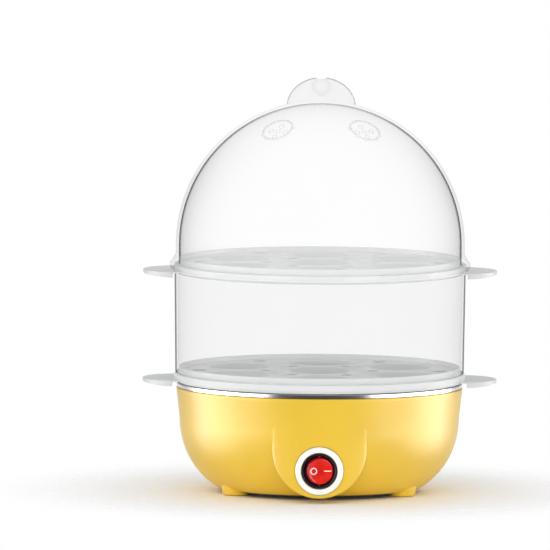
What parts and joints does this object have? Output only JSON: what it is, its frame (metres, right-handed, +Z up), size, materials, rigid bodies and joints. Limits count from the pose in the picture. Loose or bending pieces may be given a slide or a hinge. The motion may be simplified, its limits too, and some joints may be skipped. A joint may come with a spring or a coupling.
{
  "type": "two-tier egg boiler",
  "caption": "Electric egg boiler with a steel water pan on a moulded base with a rocker switch, stacked egg trays, a clear ring and a domed lid.",
  "frame": {"origin": "on the stack's vertical axis, at the feet's undersides", "axes": "+Z up along the stack, -Y out of the switch, +X to the right of someone facing the switch"},
  "size_m": [0.183, 0.1552, 0.2138],
  "materials": {
    "yellow_plastic": "glossy moulded yellow",
    "dark_plastic": "fine textured dark grey",
    "steel": "polished drawn sheet",
    "silicone": "soft translucent grey",
    "aluminium": "cast, satin",
    "element_steel": "heat-darkened tube",
    "phenolic": "matt phenolic",
    "ceramic": "glazed white",
    "rubber": "matt black rubber",
    "lead_red": "smooth insulation",
    "lead_blue": "smooth insulation",
    "lead_white": "glass-fibre sleeve",
    "white_plastic": "glossy white",
    "black_plastic": "satin black",
    "red_plastic": "glossy translucent red",
    "lamp_glass": "clear glass, orange glow gas",
    "brass": "stamped sheet",
    "frosted_plastic": "clear plastic with a faint frost",
    "clear_plastic": "clear, polished"
  },
  "bodies": {
    "base": {"base_housing": "yellow_plastic", "bottom_cover": "dark_plastic", "heating_pan": "steel", "pan_seal": "silicone", "heater_plate": "aluminium", "heating_tube": "element_steel", "heater_strap": "steel", "strap_nut_1": "steel", "strap_nut_2": "steel", "thermostat": "phenolic", "thermostat_bracket": "steel", "bracket_screw_1": "steel", "bracket_screw_2": "steel", "thermal_fuse": "ceramic", "fuse_clip": "steel", "cord_grommet": "rubber", "cord_clamp": "dark_plastic", "clamp_screw_1": "steel", "clamp_screw_2": "steel", "terminal_block": "ceramic", "live_lead": "lead_red", "switched_lead": "lead_red", "lamp_lead": "lead_blue", "neutral_lead": "lead_blue", "fuse_lead": "lead_white", "thermostat_lead": "lead_white", "tie_screw_1": "steel", "tie_screw_2": "steel", "tie_screw_3": "steel", "cover_screw_1": "steel", "cover_screw_2": "steel", "cover_screw_3": "steel", "switch_ring": "white_plastic", "switch_body": "black_plastic", "line_terminal": "brass", "load_terminal": "brass", "lamp_terminal": "brass"},
    "lower_tray": {"lower_egg_tray": "frosted_plastic"},
    "ring": {"middle_ring": "clear_plastic"},
    "upper_tray": {"upper_egg_tray": "frosted_plastic"},
    "lid": {"dome_lid": "clear_plastic"},
    "rocker": {"switch_rocker": "red_plastic", "switch_lamp": "lamp_glass", "switch_plunger": "white_plastic"},
    "contact": {"contact_arm": "brass"}
  },
  "joints": [
    {"name": "lower_tray_lift", "type": "slide", "parent": "base", "child": "lower_tray", "axis": [0, 0, 1], "range_m": [0, 0.08]},
    {"name": "ring_lift", "type": "slide", "parent": "lower_tray", "child": "ring", "axis": [0, 0, 1], "range_m": [0, 0.08]},
    {"name": "upper_tray_lift", "type": "slide", "parent": "ring", "child": "upper_tray", "axis": [0, 0, 1], "range_m": [0, 0.08]},
    {"name": "lid_lift", "type": "slide", "parent": "upper_tray", "child": "lid", "axis": [0, 0, 1], "range_m": [0, 0.12]},
    {"name": "rocker_turn", "type": "hinge", "parent": "base", "child": "rocker", "pos_m": [0, -0.0711, 0.017], "axis": [0, 0, 1], "range_deg": [-24, 0]},
    {"name": "contact_turn", "type": "hinge", "parent": "base", "child": "contact", "pos_m": [0, -0.06085, 0.017], "axis": [0, 0, 1], "range_deg": [0, 12]}
  ],
  "couplings": [
    {"joint": "contact_turn", "follows": "rocker_turn", "ratio": -0.5}
  ]
}
